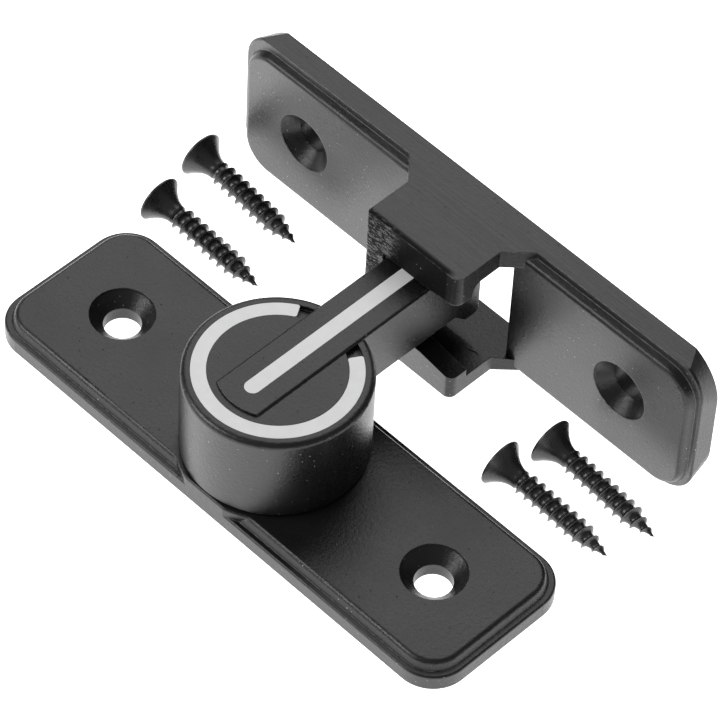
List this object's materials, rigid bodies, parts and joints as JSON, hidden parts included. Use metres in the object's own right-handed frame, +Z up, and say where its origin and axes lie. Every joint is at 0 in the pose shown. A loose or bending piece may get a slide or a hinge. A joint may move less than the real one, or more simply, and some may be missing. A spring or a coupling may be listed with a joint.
{
  "type": "toggle bolt latch",
  "caption": "Flip latch: a round knob on a flat base plate turns a bolt bar with a white stripe into a C-shaped keeper on its own plate, with loose wood screws beside it.",
  "frame": {"origin": "knob axis at the underside of the base plate, midway between its two screw holes", "axes": "+X along both plates, +Y from the base plate to the keeper, the way the bolt points when locked, +Z up out of the base plate"},
  "size_m": [0.094, 0.0544, 0.0267],
  "materials": {
    "black_casting": "satin black powder coat on a zinc casting",
    "white_inlay": "off-white moulded inlay",
    "steel": "bright zinc-plated steel",
    "brass": "turned brass",
    "nylon": "natural nylon",
    "black_screw": "black phosphate"
  },
  "bodies": {
    "base": {"base_plate": "black_casting", "detent_disc": "steel", "pivot_bush": "brass"},
    "bolt": {"knob": "black_casting", "bolt_bar": "black_casting", "ring_inlay": "white_inlay", "bar_inlay": "white_inlay", "thrust_washer": "nylon", "pivot_screw": "steel", "flat_washer": "steel", "wave_washer": "steel", "bar_screw_1": "steel", "bar_screw_2": "steel", "detent_spring_1": "steel", "detent_spring_2": "steel"},
    "ball_1": {"detent_ball_1": "steel"},
    "ball_2": {"detent_ball_2": "steel"},
    "keeper_body": {"keeper": "black_casting"},
    "screw_1": {"mounting_screw_1": "black_screw"},
    "screw_2": {"mounting_screw_2": "black_screw"},
    "screw_3": {"mounting_screw_3": "black_screw"},
    "screw_4": {"mounting_screw_4": "black_screw"}
  },
  "joints": [
    {"name": "bolt_turn", "type": "hinge", "parent": "base", "child": "bolt", "pos_m": [0, 0, 0], "axis": [0, 0, -1], "range_deg": [0, 180]},
    {"name": "detent_1", "type": "slide", "parent": "bolt", "child": "ball_1", "axis": [0, 0, 1], "range_m": [-0.0005, 0], "deforming": ["detent_spring_1"]},
    {"name": "detent_2", "type": "slide", "parent": "bolt", "child": "ball_2", "axis": [0, 0, 1], "range_m": [-0.0005, 0], "deforming": ["detent_spring_2"]},
    {"name": "keeper_apart", "type": "slide", "parent": "base", "child": "keeper_body", "axis": [0, 1, 0], "range_m": [0, 0.014]},
    {"name": "lift_screw_1", "type": "slide", "parent": "base", "child": "screw_1", "axis": [0, 0, 1], "range_m": [0, 0.03]},
    {"name": "lift_screw_2", "type": "slide", "parent": "base", "child": "screw_2", "axis": [0, 0, 1], "range_m": [0, 0.03]},
    {"name": "lift_screw_3", "type": "slide", "parent": "base", "child": "screw_3", "axis": [0, 0, 1], "range_m": [0, 0.03]},
    {"name": "lift_screw_4", "type": "slide", "parent": "base", "child": "screw_4", "axis": [0, 0, 1], "range_m": [0, 0.03]}
  ]
}
